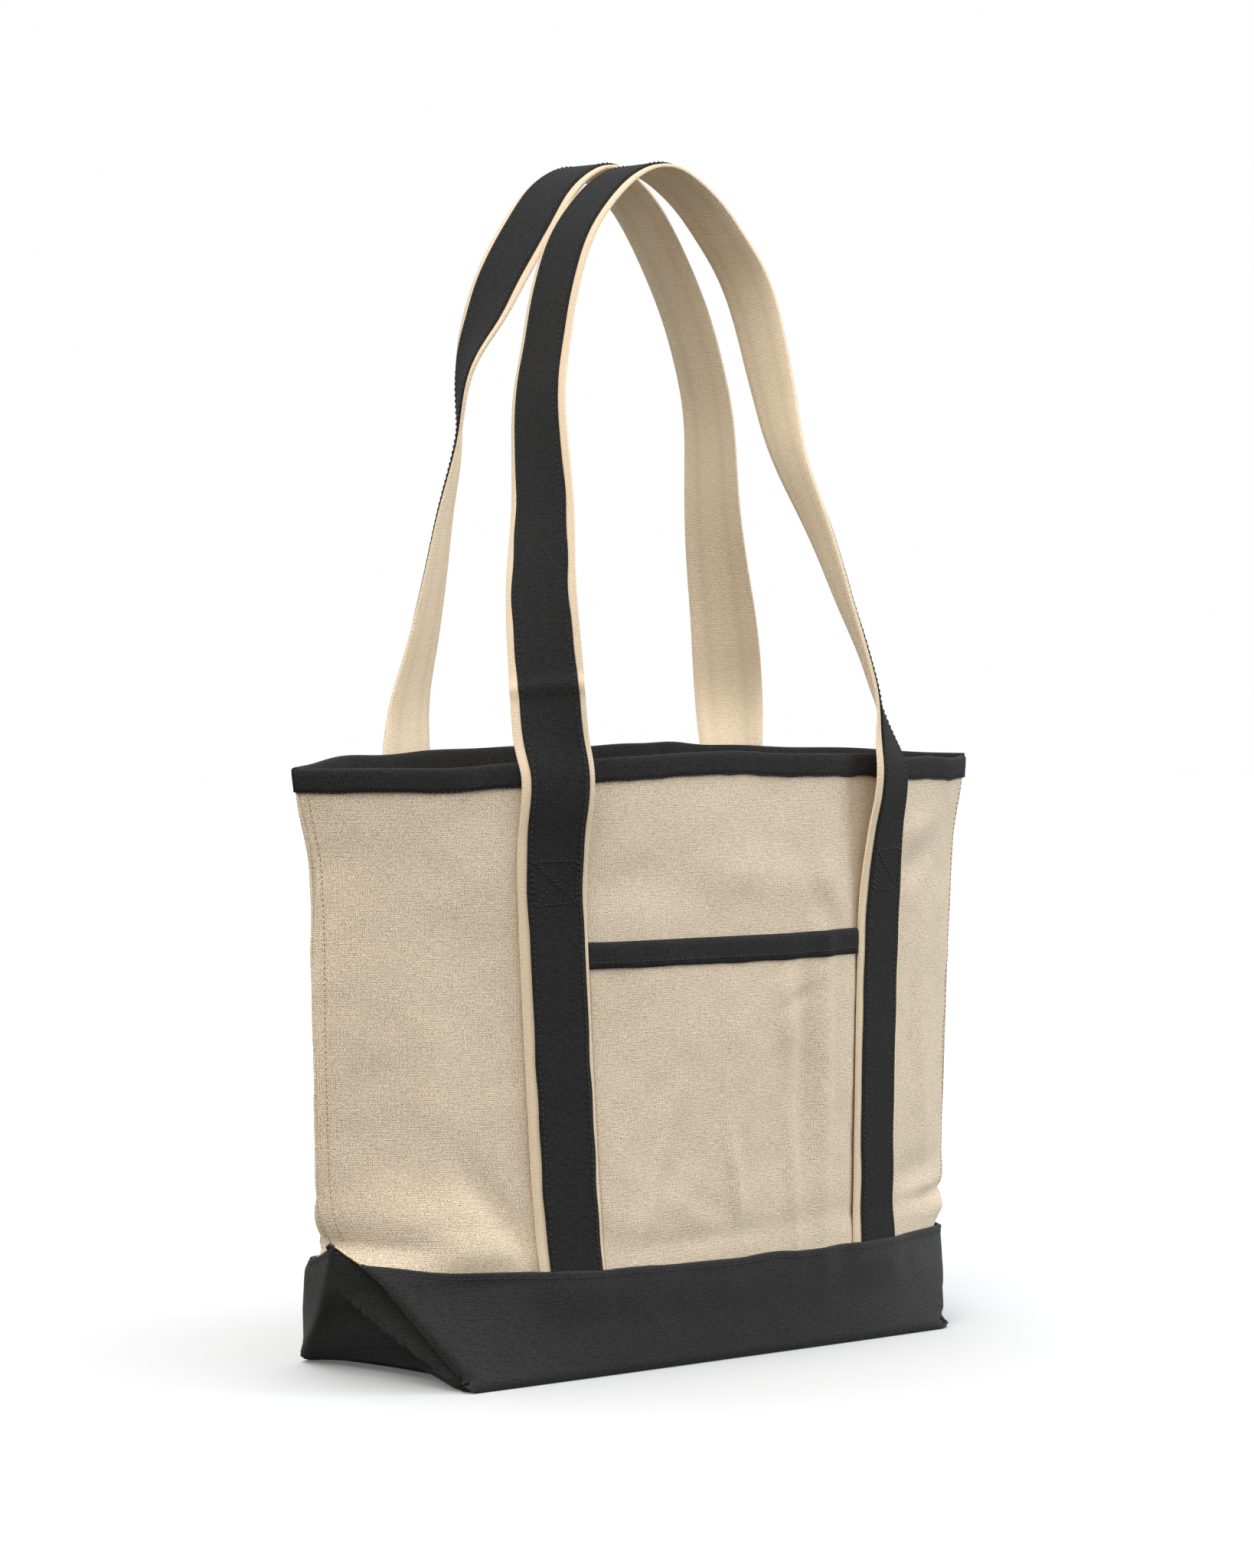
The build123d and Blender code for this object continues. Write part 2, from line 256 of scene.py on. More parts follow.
def wall(side, u, z, lift=0.0):
    """Points of a wall, lifted outward by lift."""
    u = np.asarray(u, float)
    z = np.asarray(z, float)
    step_u, step_z = 0.01, 2 * MM
    u_in = np.clip(u, -0.985, 0.985)
    along = wall_plain(side, u_in + step_u, z) - wall_plain(side, u_in - step_u, z)
    up = wall_plain(side, u_in, z + step_z) - wall_plain(side, u_in, np.maximum(z - step_z, 0))
    normal = unit(np.cross(along, up)) * -side
    point = wall_plain(side, u, z)
    calm_end = np.abs(u) ** 16 * (1 - rise(z, 58, 30))
    out = relief(side, point[..., 0], point[..., 2]) * (1 - calm_end) + lift
    return point + normal * out[..., None]


def wall_normal(side, u, z):
    """Outward direction of a wall's cloth."""
    return unit(wall(side, u, z, MM) - wall(side, u, z, 0.0))


def share(x, z):
    """The u of a place x along a wall."""
    return (x - smooth_profile(z, ROW_SHIFT)) / smooth_profile(z, ROW_WIDTH)


def rim(side, u):
    """Height of the canvas's top edge."""
    if side < 0:
        swell = 6 * MM * np.exp(-(((u + 0.12) / 0.42) ** 2))
        swell += 2.5 * MM * np.exp(-(((u - 0.35) / 0.3) ** 2))
        return 304.5 * MM + swell + 0.5 * MM * waves(u * 0.22, 0, 30 * MM, 31)
    swell = 6.5 * MM * (1 - np.abs(u) ** 2.5) + 2.2 * MM * np.exp(-(((u - 0.3) / 0.07) ** 2))
    return 305.2 * MM + swell + 0.6 * MM * waves(u * 0.22, 0, 34 * MM, 32)


def boot_top(side, u):
    """Height of the boot's top edge along a wall."""
    left = 7 * MM * np.clip(-u, 0, 1) ** 2.2
    right = (-2.2 * MM if side < 0 else 3 * MM) * np.clip(u, 0, 1) ** 1.2
    return 53 * MM + left + right + 0.4 * MM * waves(u * 0.2, 0, 32 * MM, 41 + side)


# ---- mesh tools

def wall_word(side):
    """The word for a wall in the names of pieces."""
    return "front" if side < 0 else "back"


def in_scene(name, data):
    """A new object of the scene."""
    item = bpy.data.objects.new(name, data)
    bpy.context.scene.collection.objects.link(item)
    return item


def new_piece(name, points, faces, cloth, material):
    """A smooth mesh whose cloth attribute holds the flat cloth coordinates that the weave reads."""
    mesh = bpy.data.meshes.new(name)
    mesh.from_pydata(points.reshape(-1, 3).tolist(), [], faces)
    mesh.update()
    piece = in_scene(name, mesh)
    attribute = mesh.attributes.new("cloth", "FLOAT_VECTOR", "POINT")
    flat = np.zeros((len(mesh.vertices), 3), np.float32)
    flat[:, : cloth.shape[-1]] = cloth.reshape(-1, cloth.shape[-1])
    attribute.data.foreach_set("vector", flat.ravel())
    mesh.materials.append(material)
    mesh.polygons.foreach_set("use_smooth", [True] * len(mesh.polygons))
    return piece


def grid_faces(rows, columns, start=0, wrap=False):
    """Quads of a grid of points; wrap joins the last column to the first."""
    faces = []
    last = columns if wrap else columns - 1
    for i in range(rows - 1):
        for j in range(last):
            a = start + i * columns + j
            b = start + i * columns + (j + 1) % columns
            faces.append((a, b, b + columns, a + columns))
    return faces


def tube_faces(rows, sides, start=0):
    """Quads round a closed section, and one face at each end."""
    ends = [tuple(range(start, start + sides))[::-1]]
    last = start + (rows - 1) * sides
    ends.append(tuple(range(last, last + sides)))
    return grid_faces(rows, sides, start, wrap=True) + ends


def thicken(piece, thickness, offset=-1.0):
    """Give a sheet its thickness, by default on its inner side, as plain mesh."""
    solid = piece.modifiers.new("thickness", "SOLIDIFY")
    solid.thickness = thickness
    solid.offset = offset
    solid.use_even_offset = False
    graph = bpy.context.evaluated_depsgraph_get()
    mesh = bpy.data.meshes.new_from_object(piece.evaluated_get(graph))
    old = piece.data
    piece.modifiers.clear()
    piece.data = mesh
    bpy.data.meshes.remove(old)


def sheet_piece(name, points, cloth, flip=False):
    """A sheet of natural canvas from a grid of points, thickened on its inner side."""
    rows, columns = points.shape[:2]
    faces = grid_faces(rows, columns)
    if flip:
        faces = [face[::-1] for face in faces]
    piece = new_piece(name, points, faces, cloth, NATURAL)
    thicken(piece, CLOTH)
    return piece


def distance_along(points):
    """Distance of each row from the first one; columns past x, y, z don't count."""
    steps = np.linalg.norm(np.diff(points[:, :3], axis=0), axis=1)
    return np.concatenate([[0], np.cumsum(steps)])


def rows_at(wanted, length, points):
    """The rows of points at the wanted distances; every column is carried along."""
    columns = [np.interp(wanted, length, points[:, k]) for k in range(points.shape[1])]
    return np.stack(columns, axis=1)


def sweep(name, centres, across, normals, profile, material):
    """A strip of constant section; profile holds (across, outward) offsets."""
    count, sides = len(centres), len(profile)
    profile = np.repeat(np.asarray(profile, float)[None], count, axis=0)
    sideways = across[:, None] * profile[:, :, :1]
    points = centres[:, None] + sideways + normals[:, None] * profile[:, :, 1:2]
    length = distance_along(centres)
    # The third cloth value marks the outward face, which the webbing's material darkens as painted
    # shade.
    outer = (profile[:, :, 1] > np.max(profile[:, :, 1]) / 2) * 1.0
    cloth = np.stack([profile[:, :, 0], np.repeat(length[:, None], sides, 1), outer], axis=-1)
    faces = tube_faces(count, sides)
    return new_piece(name, points, faces, cloth, material)


def tape_profile(width, thickness):
    """Flat tape with rounded edges, lying on the outward side of its centre line."""
    half = width / 2
    across = np.linspace(-half, half, 9)[1:-1]
    edge = thickness * 0.42
    top = [(x, thickness) for x in across]
    bottom = [(x, 0.0) for x in across]
    inner = -half + edge * 0.3
    left = [(inner, 0.06 * thickness), (-half, thickness * 0.3), (-half, thickness * 0.7)]
    left.append((inner, 0.94 * thickness))
    right = [(-x, y) for x, y in left[::-1]]
    return left + top + right + bottom[::-1]


def resample(points, spacing):
    """The rows of points at even distances."""
    length = distance_along(points)
    count = max(2, int(round(length[-1] / spacing)) + 1)
    return rows_at(np.linspace(0, length[-1], count), length, points)


def stitches(name, lines, pitch, gauge, material, blend=None):
    """Rows of thread stitches. Each line is (points, normals); every stitch is a small bowed capsule."""
    sides, rings = 6, 5
    length, sink = 0.72, 0.35
    ring_angle = np.linspace(0, 2 * math.pi, sides, endpoint=False)
    position = np.array([-1.0, -0.72, 0.0, 0.72, 1.0])
    radius = np.array([0.35, 0.85, 1.0, 0.85, 0.35]) * gauge / 2
    height = np.array([-1.0, -0.1, 0.55, -0.1, -1.0]) * gauge * sink * 2
    all_points, all_faces = [], []
    count = 0
    for points, normals in lines:
        both = resample(np.concatenate([points, normals], axis=1), pitch)
        centre = (both[1:, :3] + both[:-1, :3]) / 2
        tangent = unit(both[1:, :3] - both[:-1, :3])
        normal = unit((both[1:, 3:] + both[:-1, 3:]) / 2)
        normal = unit(normal - tangent * np.sum(normal * tangent, axis=1, keepdims=True))
        beside = np.cross(tangent, normal)
        for c, t, n, b in zip(centre, tangent, normal, beside):
            spine = c + t * (position[:, None] * pitch * length / 2) + n * height[:, None]
            ring = b * np.cos(ring_angle)[:, None] + n * np.sin(ring_angle)[:, None]
            all_points.append(spine[:, None] + ring[None] * radius[:, None, None])
            all_faces += tube_faces(rings, sides, count * sides * rings)
            count += 1
    no_cloth = np.zeros((1, 2))
    piece = new_piece(name, np.concatenate(all_points), all_faces, no_cloth, material)
    if blend:
        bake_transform(piece)
    else:
        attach(piece, "bag")
    return piece


# ---- materials

FLECK = (0.16, 0.095, 0.045)
BUMP_DEPTH = 0.35 * MM
BAND_AT = 9 * MM
BAND_REACH = 4 * MM


class Nodes:
    """Small helper that adds and joins the shader nodes of one material or world."""

    def __init__(self, holder):
        self.holder = holder
        holder.use_nodes = True
        self.tree = holder.node_tree
        self.shader = self.tree.nodes.get("Principled BSDF")

    def add(self, kind, inputs=None, **settings):
        """A new node with its settings and inputs."""
        node = self.tree.nodes.new(kind)
        for key, value in settings.items():
            setattr(node, key, value)
        self.dress(node, inputs or {})
        return node

    def dress(self, node, inputs):
        """Give each named input of a node an output or a constant."""
        for key, value in inputs.items():
            self.put(node.inputs[key], value)

    def put(self, socket, value):
        """Join an output to a socket, or set the socket to a constant."""
        if isinstance(value, bpy.types.NodeSocket):
            self.tree.links.new(value, socket)
        else:
            socket.default_value = value

    def math(self, operation, a, b=0.0, clamp=False):
        """One step of arithmetic."""
        node = self.add("ShaderNodeMath", operation=operation, use_clamp=clamp)
        self.put(node.inputs[0], a)
        self.put(node.inputs[1], b)
        return node.outputs[0]

    def noise(self, vector, scale, detail, rough):
        """Noise from 0 to 1."""
        inputs = {"Vector": vector, "Scale": scale, "Detail": detail, "Roughness": rough}
        return self.add("ShaderNodeTexNoise", inputs).outputs["Fac"]

    def scaled(self, vector, factors):
        """A place stretched by a factor on each axis."""
        node = self.add("ShaderNodeVectorMath", operation="MULTIPLY")
        self.put(node.inputs[0], vector)
        node.inputs[1].default_value = factors
        return node.outputs[0]

    def ramp(self, value, low, high, a=0.0, b=1.0):
        """Map low..high to a..b, and hold the ends."""
        inputs = {"Value": value, "From Min": low, "From Max": high, "To Min": a, "To Max": b}
        return self.add("ShaderNodeMapRange", inputs).outputs[0]

    def mix(self, factor, a, b):
        """A colour between a and b."""
        node = self.add("ShaderNodeMix", data_type="RGBA")
        for index, value in ((0, factor), (6, a), (7, b)):
            value = (*value, 1.0) if isinstance(value, tuple) else value
            self.put(node.inputs[index], value)
        return node.outputs[2]

    def seen_or_lit(self, seen, lit):
        """One shader for what the camera sees and another for the light that reaches everything else."""
        choose = self.add("ShaderNodeMixShader")
        self.put(choose.inputs[0], self.add("ShaderNodeLightPath").outputs["Is Camera Ray"])
        self.put(choose.inputs[1], lit.outputs[0])
        self.put(choose.inputs[2], seen.outputs[0])
        return choose.outputs[0]


def yarn_height(n, cloth, pitch, ribs):
    """Height of the crossing yarns, from 0 to 1, a little uneven in their spacing."""
    wobble = n.add("ShaderNodeTexNoise", {"Vector": cloth, "Scale": 90.0, "Detail": 2.0})
    shift = n.add("ShaderNodeVectorMath", operation="MULTIPLY_ADD")
    n.put(shift.inputs[0], wobble.outputs["Color"])
    shift.inputs[1].default_value = (pitch * 0.35,) * 3
    n.put(shift.inputs[2], cloth)
    parts = n.add("ShaderNodeSeparateXYZ", {"Vector": shift.outputs[0]}).outputs
    turns = math.pi / pitch
    warp = n.math("SINE", n.math("MULTIPLY", parts["X"], turns))
    weft = n.math("SINE", n.math("MULTIPLY", parts["Y"], turns * ribs))
    crossing = n.ramp(n.math("MULTIPLY", warp, weft), -0.25, 0.25)
    yarn = n.add("ShaderNodeMix", {"Factor": crossing}, data_type="FLOAT")
    n.put(yarn.inputs[2], n.math("ABSOLUTE", warp))
    n.put(yarn.inputs[3], n.math("ABSOLUTE", weft))
    return yarn.outputs[0]


def cloth_tone(n, cloth, height, slubs, grain, slub):
    """Light and dark, from 0 to 1: slubs both ways, the weave, uneven dye and fine grain."""
    warps = n.noise(n.scaled(cloth, (1250.0, 260.0, 0.0)), 1.0, 2.0, 0.6)
    patches = n.noise(cloth, 24.0, 3.0, 0.55)
    tone = n.math("MULTIPLY", n.ramp(slubs, 0.38, 0.62, -1.0, 1.0), slub)
    for layer, low, high, weight in (
        (warps, 0.38, 0.62, slub * 0.6),
        (height, 0.1, 0.9, 0.42),
        (patches, 0.3, 0.7, 0.06),
        (grain, 0.37, 0.63, 0.8),
    ):
        tone = n.math("ADD", tone, n.math("MULTIPLY", n.ramp(layer, low, high, -1.0, 1.0), weight))
    return n.math("ADD", n.math("MULTIPLY", tone, 0.5), 0.5, clamp=True)


def with_flecks(n, cloth, colour, flecks):
    """Brown seed flecks; flecks is the share of places that have none."""
    places = n.scaled(cloth, (0.45, 1.0, 1.0))
    spots = n.add("ShaderNodeTexVoronoi", {"Vector": places, "Scale": 210.0}).outputs
    near = n.ramp(spots["Distance"], 0.05, 0.13, 1.0, 0.0)
    few = n.add("ShaderNodeSeparateColor", {"Color": spots["Color"]}).outputs[0]
    chosen = n.math("MULTIPLY", near, n.ramp(few, flecks, flecks + 0.05))
    return n.mix(n.math("MULTIPLY", chosen, 0.75), colour, FLECK)


def woven(
    name, light, dark, pitch, slub, flecks, rough, bump, sheen, fuzz_tint,
    ribs=1.0, gloss=0.25, haze=0.55, outer_shade=0.0, bands=0.0,
):
    """Plain-woven cloth; its outward face can be darkened as painted shade, and bands a stripe along
    each half.
    """
    n = Nodes(bpy.data.materials.new(name))
    cloth = n.add("ShaderNodeAttribute", attribute_name="cloth").outputs["Vector"]
    height = yarn_height(n, cloth, pitch, ribs)
    slubs = n.noise(n.scaled(cloth, (240.0, 1250.0, 0.0)), 1.0, 3.0, 0.6)
    grain = n.noise(n.scaled(cloth, (1450.0, 2000.0, 0.0)), 1.0, 2.0, 0.7)
    colour = n.mix(cloth_tone(n, cloth, height, slubs, grain, slub), dark, light)
    flat = n.add("ShaderNodeSeparateXYZ", {"Vector": cloth}).outputs
    # Painted shade: the outward face, marked by the cloth attribute's third value, is darkened towards
    # the dark colour.
    if outer_shade:
        colour = n.mix(n.math("MULTIPLY", flat["Z"], outer_shade), colour, dark)
    if bands:
        from_band = n.math("SUBTRACT", n.math("ABSOLUTE", flat["X"]), BAND_AT)
        band = n.ramp(n.math("ABSOLUTE", from_band), 0.0, BAND_REACH, bands, 0.0)
        colour = n.mix(band, colour, dark)
    if flecks:
        colour = with_flecks(n, cloth, colour, flecks)
    raised = n.math("ADD", height, n.math("MULTIPLY", slubs, 1.4))
    raised = n.math("ADD", raised, n.math("MULTIPLY", grain, 0.5))
    bumps = n.add("ShaderNodeBump", {"Height": raised, "Strength": bump, "Distance": BUMP_DEPTH})
    n.dress(n.shader, {
        "Base Color": colour,
        "Roughness": n.ramp(n.math("ADD", height, slubs), 0.2, 1.6, rough + 0.06, rough - 0.08),
        "Specular IOR Level": gloss,
        "Sheen Weight": sheen,
        "Sheen Roughness": haze,
        "Sheen Tint": (*fuzz_tint, 1.0),
        "Normal": bumps.outputs[0],
    })
    return n.holder


def thread(name, light, dark):
    """Twisted sewing thread."""
    n = Nodes(bpy.data.materials.new(name))
    place = n.add("ShaderNodeTexCoord").outputs["Object"]
    ply = n.noise(place, 2600.0, 2.0, 0.6)
    wear = n.noise(place, 60.0, 2.0, 0.5)
    colour = n.mix(n.math("MULTIPLY", n.math("ADD", ply, wear), 0.5, clamp=True), dark, light)
    bumps = n.add("ShaderNodeBump", {"Height": ply, "Strength": 0.5, "Distance": 0.1 * MM})
    roughness = n.ramp(ply, 0.3, 0.7, 0.5, 0.72)
    n.dress(n.shader, {"Base Color": colour, "Roughness": roughness, "Sheen Weight": 0.04})
    n.dress(n.shader, {"Normal": bumps.outputs[0]})
    return n.holder


NATURAL = woven(
    "natural_canvas", (0.87, 0.74, 0.575), (0.265, 0.21, 0.15), 0.9 * MM, 0.2, 0.965, 0.88, 0.55, 0.12,
    (1.0, 0.95, 0.86),
)
# The webbing's outward face is darkened as painted shade, so it reads darker than its lit inner face.
WEBBING = woven(
    "natural_webbing", (1.0, 0.85, 0.64), (0.62, 0.50, 0.355), 0.8 * MM, 0.18, 0.975, 0.85, 0.6, 0.12,
    (1.0, 0.94, 0.84), ribs=0.7, outer_shade=0.7, bands=0.3,
)
BOOT = woven(
    "dark_canvas", (0.038, 0.038, 0.039), (0.002, 0.002, 0.002), 0.95 * MM, 0.25, 0, 0.82, 0.6, 0.14,
    (0.8, 0.82, 0.86), gloss=0.2, haze=0.36,
)
BINDING = woven(
    "dark_binding", (0.034, 0.034, 0.035), (0.002, 0.002, 0.002), 0.8 * MM, 0.25, 0, 0.88, 0.6, 0.02,
    (0.7, 0.72, 0.78), gloss=0.12,
)
TAPE = woven(
    "dark_trim", (0.031, 0.031, 0.032), (0.002, 0.002, 0.002), 0.85 * MM, 0.25, 0, 0.88, 0.6, 0.02,
    (0.7, 0.72, 0.78), gloss=0.12,
)
DARK_THREAD = thread("dark_thread", (0.017, 0.017, 0.019), (0.005, 0.005, 0.006))
# Painted shade: the tan thread of the side seams carries the warm shadow line of each seam's crevice.
SEAM_SHADE_THREAD = thread("seam_shade_thread", (0.52, 0.33, 0.14), (0.30, 0.17, 0.06))


# ---- body

def canvas_panel(side):
    """One body panel from the floor to the rim."""
    spread = math.pi / 2 * 0.94
    u = np.sin(np.linspace(-1, 1, 121) * spread) / math.sin(spread)
    uu, vv = np.meshgrid(u, np.linspace(0, 1, 96))
    zz = PANEL_FOOT + vv * (rim(side, uu) - PANEL_FOOT)
    inset = 1 - 0.04 * (1 - rise(zz, 48, 14))
    points = wall(side, uu * inset, zz)
    cloth = np.stack([uu * PANEL_HALF, zz], axis=-1)
    word = wall_word(side)
    piece = sheet_piece(f"{word}_canvas", points, cloth, flip=side > 0)
    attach(piece, "bag")
    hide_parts(f"{word}_panel")


def fold_section(g, z):
    """Depth of a boxed end along g: a valley, a crest, a hollow and a back fold."""
    gap = 139 * MM * (1 - np.interp(z, SWEEP_Z, SWEEP_SHARE)) + 6 * MM
    valley_at = (1.5 + 6.5 * np.clip(z / (25 * MM), 0, 1)) * MM / gap
    crest_at = np.maximum(np.interp(z, CREST_Z, CREST_SHARE), valley_at + 0.02)
    back_at = 1 - 0.5 * (z / APEX) ** 1.25
    hollow_share = np.clip((g - crest_at) / (back_at - crest_at), 0, 1)
    hollow_depth = CREST_OUT + (BACK_OUT - CREST_OUT) * hollow_share
    sag = (1 - np.exp(-hollow_share / 0.1)) * (1 - hollow_share) ** 0.8
    hollow_depth -= HOLLOW_DEPTH * sag * (1 - rise(z, 34, 16))
    climb = np.clip((g - valley_at) / (crest_at - valley_at), 0, 1)
    strip = -VALLEY_DEPTH + (CREST_OUT + VALLEY_DEPTH) * climb
    before = -VALLEY_DEPTH * np.clip(g / valley_at, 0, 1)
    after = BACK_OUT * np.clip((1 - g) / (1 - back_at + 1e-6), 0, 1)
    depth = np.where(g < valley_at, before, np.where(g < crest_at, strip, hollow_depth))
    return np.where(g > back_at, after, depth)


def foot_rise(g, z):
    """How far the foot of a boxed end is drawn up off the floor."""
    shape = np.interp(g, [0, 0.12, 0.33, 0.58, 0.85, 1], [0, 0.5, 6.2, 5.4, 3.0, 0])
    return shape * MM * (1 - rise(z, 0, 30))


def end_fold(end, g, t):
    """Folded boxed end: g runs from the front crease to the back one, t from the floor to the apex."""
    z = t * APEX
    front = wall_plain(-1, end * np.ones_like(z), z)
    back = wall_plain(1, end * np.ones_like(z), z)
    point = front + (back - front) * g[..., None]
    fade = rise(z, -4, 14) * (1 - (np.clip(t, 0, 1)) ** 6)
    depth = fold_section(g, z) * fade
    depth -= 3 * MM * (1 - rise(z, 0, 26)) * np.sin(np.pi * g)
    depth += 0.3 * MM * waves(point[..., 1], point[..., 2], 22 * MM, 50 + end) * fade
    outward = np.array([end * END_OUT[0], 0.0, END_OUT[1]])
    point = point + outward * depth[..., None]
    point[..., 2] += foot_rise(g, z)
    return point


def inner_fold(end, g, t):
    """The plain canvas inside a boxed end, clear of the boot's folds."""
    z = t * APEX
    u = end * (1 - 0.17 * (1 - np.clip(t, 0, 1) ** 6))
    front = wall_plain(-1, u, z)
    back = wall_plain(1, u, z)
    return front + (back - front) * (0.012 + 0.976 * g)[..., None]


def boot_lift(side, u, z, level):
    """How far the boot's face stands off the wall: more over the pocket's foot and the straps' ends."""
    x = u * smooth_profile(z, ROW_WIDTH)
    over_pocket = 0.9 * MM * np.exp(-((x / (92 * MM)) ** 8)) * (side < 0)
    over_straps = 2.6 * MM * near_straps(side, x, z, 24 * MM)
    return BOOT_LIFT + np.maximum(over_pocket, over_straps) * ease((level - 0.45) / 0.4)


def ring_points(levels):
    """Rows of points round the whole foot of the bag; each level is a share of the boot's height."""
    u = np.linspace(-1, 1, SIDE_COUNT)
    g = np.linspace(0, 1, END_COUNT)[1:-1]
    front_top, back_top = boot_top(-1, u), boot_top(1, u)
    peak = 9.5 * MM * np.sin(np.pi * g)
    right_top = front_top[-1] + (back_top[-1] - front_top[-1]) * g + peak
    left_top = front_top[0] + (back_top[0] - front_top[0]) * g + peak
    end_lift = np.full(len(g), BOOT_LIFT)
    rows, lifts = [], []
    for k in levels:
        front = wall(-1, u, k * front_top)
        right = end_fold(1, g, k * right_top / APEX)
        back = wall(1, u, k * back_top)[::-1]
        left = end_fold(-1, g, k * left_top / APEX)[::-1]
        rows.append(np.concatenate([front, right, back, left]))
        front_lift = boot_lift(-1, u, k * front_top, k)
        back_lift = boot_lift(1, u, k * back_top, k)[::-1]
        lifts.append(np.concatenate([front_lift, end_lift, back_lift, end_lift]))
    points = np.array(rows)
    around = np.roll(points, -2, axis=1) - np.roll(points, 2, axis=1)
    normal = unit(np.cross(around, np.gradient(points, axis=0)))
    return points + normal * np.array(lifts)[..., None], normal


def end_rise():
    """How far each column's foot is drawn up: only the two boxed ends are."""
    g = np.linspace(0, 1, END_COUNT)[1:-1]
    drawn_up = foot_rise(g, 0 * g)
    level = np.zeros(SIDE_COUNT)
    return np.concatenate([level, drawn_up, level, drawn_up[::-1]])


def boot_underside(ring, first):
    """Points and faces that close the ring round the boot's foot; first numbers the new points."""
    front = np.arange(SIDE_COUNT)
    right = np.arange(SIDE_COUNT - 1, SIDE_COUNT - 1 + END_COUNT)
    back = np.arange(right[-1], right[-1] + SIDE_COUNT)[::-1]
    left = np.concatenate([[0], np.arange(len(ring) - 1, back[0] - 1, -1)])
    a = np.linspace(0, 1, SIDE_COUNT)[None, :, None]
    b = np.linspace(0, 1, END_COUNT)[:, None, None]
    along = (1 - a) * ring[left][:, None] + a * ring[right][:, None]
    across = (1 - b) * ring[front][None] + b * ring[back][None]
    corners = (1 - b) * along[:1] + b * along[-1:]
    patch = along + across - corners
    near_left, near_right = (1 - a[..., 0]) ** 40, a[..., 0] ** 40
    patch[..., 2] = ring[left, 2][:, None] * near_left + ring[right, 2][:, None] * near_right
    index = np.zeros((END_COUNT, SIDE_COUNT), int)
    inside = np.arange((END_COUNT - 2) * (SIDE_COUNT - 2)).reshape(END_COUNT - 2, -1)
    index[1:-1, 1:-1] = first + inside
    index[0], index[-1] = front, back
    index[:, 0], index[:, -1] = left, right
    cap = []
    for low, high in zip(index.tolist(), index[1:].tolist()):
        cap += [(low[i], high[i], high[i + 1], low[i + 1]) for i in range(SIDE_COUNT - 1)]
    return patch[1:-1, 1:-1].reshape(-1, 3), cap


def distance_round(points):
    """Distance round each row from the middle of the front, both ways, meeting behind."""
    steps = np.linalg.norm(np.roll(points, -1, axis=1) - points, axis=2)
    around = np.cumsum(steps, axis=1) - steps
    around -= around[:, SIDE_COUNT // 2][:, None]
    behind = points.shape[1] // 2 + SIDE_COUNT // 2
    around[:, behind:] -= steps.sum(axis=1)[:, None]
    return around


def boot():
    """The dark base: walls and boxed ends in one ring, rounded under to a flat floor."""
    levels = np.concatenate([[0, 0.03], np.linspace(0.08, 1, 34)])
    points, normal = ring_points(levels)
    count = points.shape[1]
    middle = np.array([0, BASE_Y, 0])
    reach = np.array([162 * MM, 71 * MM, 1])
    for row, inset, z in ((0, 2.4 * MM, 0.0), (1, 0.7 * MM, 0.8 * MM)):
        flat = (points[row] - middle) / reach
        points[row] = middle + flat * (reach - np.array([inset, inset, 0]))
        points[row, :, 2] = z + end_rise()
    points[:, :, 2] = np.maximum(points[:, :, 2], 0)
    cloth = np.zeros((len(levels), count, 2))
    cloth[..., 0] = distance_round(points)
    cloth[..., 1] = points[..., 2]
    faces = grid_faces(len(levels), count, wrap=True)
    under, cap = boot_underside(points[0], len(levels) * count)
    faces += cap
    points_all = np.concatenate([points.reshape(-1, 3), under])
    cloth_all = np.concatenate([cloth.reshape(-1, 2), under[:, :2]])
    piece = new_piece("base_boot_cloth", points_all, faces, cloth_all, BOOT)
    thicken(piece, BOOT_CLOTH)
    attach(piece, "bag")
    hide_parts("base_boot")
    return points, normal


def bottom():
    """The body's own bottom and folded ends, seen from inside."""
    rows, columns = 26, 60
    fold_rows, fold_columns = 22, 25
    lowest = 0.04
    v = np.linspace(-1, 1, rows)
    uu, vv = np.meshgrid(np.linspace(-1, 1, columns), v)
    foot = (v + 1) / 2
    left = inner_fold(-1, foot, lowest + 0 * foot)[:, None]
    right = inner_fold(1, foot, lowest + 0 * foot)[:, None]
    floor = left + (right - left) * ((uu + 1) / 2)[..., None]
    floor[..., 1] = BASE_Y + vv * 67.6 * MM * (1 - 0.02 * np.abs(uu) ** 8)
    level = PANEL_FOOT + 0.4 * MM * waves(uu, vv, 0.5, 61)
    floor[..., 2] = level + np.maximum(floor[..., 2] - level, 0) * np.abs(uu) ** 14
    points = [floor.reshape(-1, 3)]
    clothes = [np.stack([uu * 148 * MM, vv * 66 * MM], axis=-1).reshape(-1, 2)]
    faces = grid_faces(rows, columns)
    gg, tt = np.meshgrid(np.linspace(0, 1, fold_columns), np.linspace(lowest, 0.985, fold_rows))
    start = rows * columns
    for end in (-1, 1):
        points.append(inner_fold(end, gg, tt).reshape(-1, 3))
        clothes.append(np.stack([gg * 142 * MM, tt * APEX], axis=-1).reshape(-1, 2))
        patch = grid_faces(fold_rows, fold_columns, start)
        faces += patch if end > 0 else [face[::-1] for face in patch]
        start += fold_rows * fold_columns
    piece = new_piece("bottom_canvas", np.concatenate(points), faces, np.concatenate(clothes), NATURAL)
    thicken(piece, BOTTOM_CLOTH, offset=0.0)
    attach(piece, "bag")
    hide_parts("bottom_panel")


